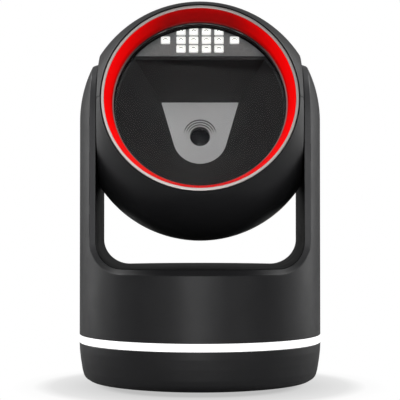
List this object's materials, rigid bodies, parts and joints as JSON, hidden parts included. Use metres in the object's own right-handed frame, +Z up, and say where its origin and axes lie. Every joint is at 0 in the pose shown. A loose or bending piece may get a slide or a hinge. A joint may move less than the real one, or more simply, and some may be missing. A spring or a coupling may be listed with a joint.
{
  "type": "desktop presentation barcode scanner",
  "caption": "Round desktop presentation scanner: a flat-sided ball head with a red-lit window tilts in a U-shaped yoke above a white-lit ring and a weighted foot.",
  "frame": {"origin": "centre of the footprint, on the surface that the rubber foot stands on", "axes": "+Z up along the round body's axis, -Y towards the customer side (the mouth faces -Y), +X to the right seen from the front, along the tilt axis"},
  "size_m": [0.092, 0.092, 0.1453],
  "materials": {
    "body_plastic": "satin moulded ABS, fine texture",
    "liner_plastic": "dark satin moulded ABS",
    "head_plastic": "dark satin moulded ABS",
    "foot_rubber": "matt moulded rubber",
    "screw_steel": "zinc-plated steel",
    "ballast_iron": "cast iron, as cast",
    "circuit_board": "green solder mask over glass-fibre laminate",
    "lamp_board_mask": "grey solder mask over glass-fibre laminate",
    "white_lamp": "white lamp case with clear resin",
    "red_lamp": "red lamp case with clear resin",
    "light_ring": "opal polycarbonate, lit white from inside",
    "chip_black": "black moulded resin",
    "socket_plastic": "black glass-filled nylon",
    "contact_brass": "gold-plated spring brass",
    "cable_jacket": "black soft PVC jacket",
    "pivot_steel": "turned steel",
    "bush_plastic": "natural acetal",
    "trim_metal": "satin aluminium",
    "red_light": "red-dyed polycarbonate light guide, lit from inside",
    "bezel_plastic": "black moulded ABS",
    "gasket_rubber": "matt foam rubber",
    "window_glass": "clear coated glass",
    "shroud_plastic": "matt black moulded ABS",
    "camera_plate_grey": "grey moulded polycarbonate",
    "lens_black": "black anodised",
    "lens_glass": "coated optical glass",
    "sensor_glass": "cover glass over silicon",
    "spacer_brass": "turned brass"
  },
  "bodies": {
    "stand": {"foot_cup": "body_plastic", "rubber_foot_ring": "foot_rubber", "foot_screws": "screw_steel", "ballast_weight": "ballast_iron", "ballast_screws": "screw_steel", "ring_light_board": "circuit_board", "ring_light_leds": "white_lamp", "ring_light_diffuser": "light_ring", "yoke_shell": "body_plastic", "yoke_liner": "liner_plastic", "liner_screws": "screw_steel", "main_board": "circuit_board", "main_board_chips": "chip_black", "main_board_screws": "screw_steel", "buzzer": "chip_black", "interface_socket": "socket_plastic", "socket_contacts": "contact_brass", "arm_harness": "cable_jacket", "left_pivot_stub": "pivot_steel", "right_pivot_stub": "pivot_steel", "pivot_stub_screws": "screw_steel", "friction_washers": "pivot_steel", "retaining_rings": "pivot_steel"},
    "head": {"left_pivot_bush": "bush_plastic", "right_pivot_bush": "bush_plastic", "tilt_stop_pins": "pivot_steel", "head_upper_shell": "head_plastic", "head_lower_shell": "head_plastic", "head_shell_screws": "screw_steel", "head_harness": "cable_jacket", "mouth_trim_ring": "trim_metal", "red_light_ring": "red_light", "red_light_board": "circuit_board", "red_light_leds": "red_lamp", "window_bezel": "bezel_plastic", "window_gasket": "gasket_rubber", "window_pane": "window_glass", "lamp_board": "lamp_board_mask", "lamp_leds": "white_lamp", "optical_shroud": "shroud_plastic", "shroud_screws": "screw_steel", "camera_plate": "camera_plate_grey", "lens_holder": "bezel_plastic", "lens_barrel": "lens_black", "front_lens": "lens_glass", "image_sensor": "sensor_glass", "camera_board": "circuit_board", "camera_screws": "screw_steel", "board_spacers": "spacer_brass", "decoder_board": "circuit_board", "decoder_chips": "chip_black"}
  },
  "joints": [
    {"name": "head_tilt", "type": "hinge", "parent": "stand", "child": "head", "pos_m": [0, 0, 0.0995], "axis": [1, 0, 0], "range_deg": [-30, 30]}
  ]
}
